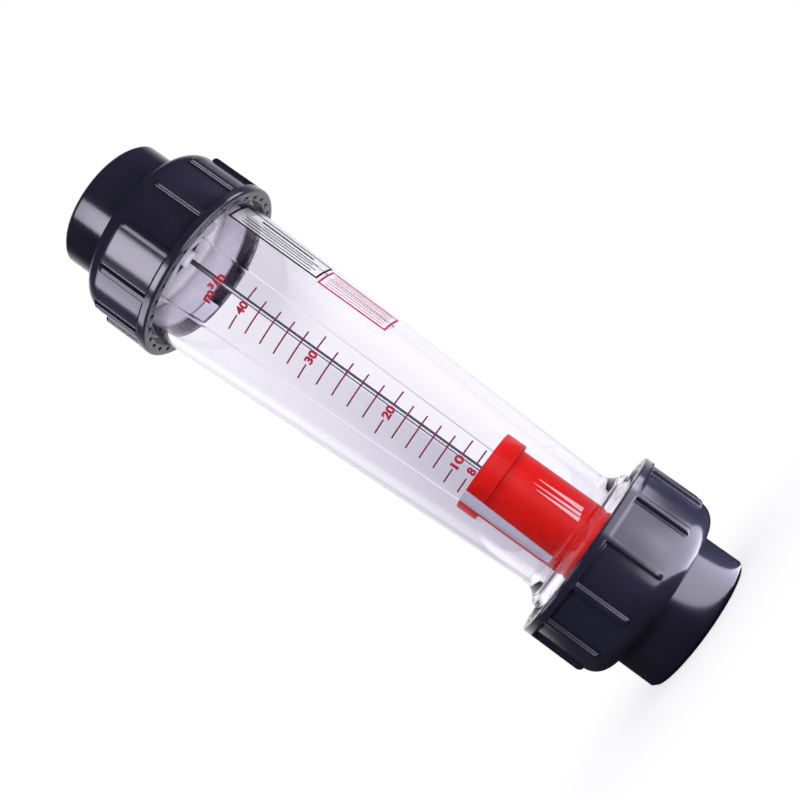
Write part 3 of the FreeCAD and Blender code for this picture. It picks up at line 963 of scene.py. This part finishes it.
def tick_points():
    """A point in the middle of each bar, and the bar's length as an attribute."""
    bars = []
    for flow, height in MARKS.items():
        if flow in NUMBERED:
            half = (LONG_TICK - NUMBER_GAP) / 2
            aside = (NUMBER_GAP + half) / 2
            bars += [(-aside, height, half), (aside, height, half)]
        else:
            bars.append((0.0, height, SHORT_TICK))
    mesh = bpy.data.meshes.new("tick_points")
    mesh.from_pydata([(x * MM, 0, z * MM) for x, z, _ in bars], [], [])
    lengths = mesh.attributes.new("length", "FLOAT", "POINT")
    lengths.data.foreach_set("value", [long * MM for _, _, long in bars])
    return mesh


through("scale_ticks", tick_points(), make_ticks_tree(), inks["crimson"],
        turned=SCALE_TURNED)

# %% [markdown]
# ## Numbers and the unit
# The numbers come from Blender's own typeface, scaled to the size of the printed ones. Their
# strokes are heavier than the typeface's, so a bevel makes them grow on each side. They are
# made as flat solids, then wrapped like the ticks.

# %% Numbers and the unit
DIGITS_HIGH = 5.8                             # mm, and so are the widths
DIGITS_WIDE = {8: 3.9, 10: 8.4, 20: 8.4, 30: 8.4, 40: 8.4}
UNIT_WIDE, UNIT_HIGH, UNIT_AT = 19.5, 7.6, 354.4
DIGITS_THICKER, UNIT_THICKER = 0.045, 0.03    # how far strokes grow, in heights of a letter
LETTER_DEPTH = 0.1                            # each way, in heights of a letter
PROUD = 0.8                                   # mm for one height of a letter


def flat_text(words, width, height, at, thicker):
    """Words as a thin solid in the flat drawing, width by height, around the height at."""
    curve = bpy.data.curves.new("words", "FONT")
    curve.body = words
    curve.extrude = LETTER_DEPTH
    curve.bevel_depth = thicker
    curve.bevel_resolution = 0
    made = new_object("words", curve)
    view = bpy.context.evaluated_depsgraph_get()
    mesh = bpy.data.meshes.new_from_object(made.evaluated_get(view), depsgraph=view)
    bpy.data.objects.remove(made)
    xs = [v.co.x for v in mesh.vertices]
    ys = [v.co.y for v in mesh.vertices]
    sx, sy = width / (max(xs) - min(xs)), height / (max(ys) - min(ys))
    cx, cy = (max(xs) + min(xs)) / 2, (max(ys) + min(ys)) / 2
    for v in mesh.vertices:
        x, y, z = v.co
        v.co = Vector(((x - cx) * sx, -z * PROUD, (y - cy) * sy + at)) * MM
    return mesh


def joined(meshes):
    bm = bmesh.new()
    for mesh in meshes:
        bm.from_mesh(mesh)
        bpy.data.meshes.remove(mesh)
    bmesh.ops.remove_doubles(bm, verts=bm.verts, dist=1e-6)
    return closed_mesh("flat", bm)


words = [flat_text(str(flow), DIGITS_WIDE[flow], DIGITS_HIGH, MARKS[flow], DIGITS_THICKER)
         for flow in NUMBERED]
words.append(flat_text("m\u00b3/h", UNIT_WIDE, UNIT_HIGH, UNIT_AT, UNIT_THICKER))
through("scale_numbers", joined(words), wrapping, inks["red"], turned=SCALE_TURNED)

# %% [markdown]
# ## Two film labels
# A label is a film, a frame of four bars on top of it, and a few ruled lines in the place of
# its text. Every bar is a thin block, cut every 2 mm so that it bends with the tube, because
# a block with points only at its corners would cut straight through the wall.

# %% Two film labels with plain ruled lines
LABEL_EDGES = (44.5, 70.0)          # degrees from -Y towards +X
FRAME_WIDTH = 1.35
CUT_EVERY = 2.0
# foot and top of each, in mm off the tube
FILM, FRAME_INK, RULE_INK = (0.02, 0.12), (0.12, 0.20), (0.12, 0.18)


def flat_bar(bm, x0, x1, z0, z1, low, high):
    """A thin block in the flat drawing, cut along x so that it can bend."""
    cuts = max(1, math.ceil((x1 - x0) / CUT_EVERY))
    rings = []
    for i in range(cuts + 1):
        x = x0 + (x1 - x0) * i / cuts
        rings.append([bm.verts.new((x * MM, -depth * MM, z * MM))
                      for depth, z in ((low, z0), (high, z0), (high, z1), (low, z1))])
    for a, b in zip(rings, rings[1:]):
        for j in range(4):
            k = (j + 1) % 4
            bm.faces.new((a[j], b[j], b[k], a[k]))
    bm.faces.new(rings[0])
    bm.faces.new(rings[-1])


def label(name, low_z, high_z, frame_ink, rule_ink, rules):
    """A film, with its frame and its ruled lines as ink on top of it."""
    radius = TAPER_FOOT[0] + SLOPE * ((low_z + high_z) / 2 - TAPER_FOOT[1])
    near, far = (math.radians(a) * radius for a in LABEL_EDGES)
    wide = FRAME_WIDTH
    film_bars = [(near, far, low_z, high_z, *FILM)]
    frame_bars = [(near, far, z, z + wide, *FRAME_INK) for z in (low_z, high_z - wide)]
    frame_bars += [(x, x + wide, low_z + wide, high_z - wide, *FRAME_INK)
                   for x in (near, far - wide)]
    rule_bars = [(near + at, near + at + thick, low_z + start, high_z - end, *RULE_INK)
                 for at, thick, start, end in rules]
    for kind, bars, material in (("film", film_bars, film), ("frame", frame_bars, frame_ink),
                                 ("rules", rule_bars, rule_ink)):
        bm = bmesh.new()
        for bar in bars:
            flat_bar(bm, *bar)
        through(f"{name}_{kind}", closed_mesh("flat", bm), wrapping, material)


# a label's foot and top, its inks, and each ruled line as (how far from the near edge, width,
# margin below, margin above), all in mm
label("upper_label", 309.7, 378.4, inks["black"], inks["grey"],
      [(3.2, 0.8, 7.0, 8.0), (6.0, 0.8, 5.0, 8.0), (8.8, 0.8, 9.0, 8.0),
       (11.6, 0.8, 6.0, 20.0), (15.4, 2.2, 12.0, 16.0)])
label("lower_label", 256.0, 307.8, inks["pink"], inks["pink"],
      [(3.2 + 2.6 * i, 0.5, 4.0, 4.0) for i in range(7)])
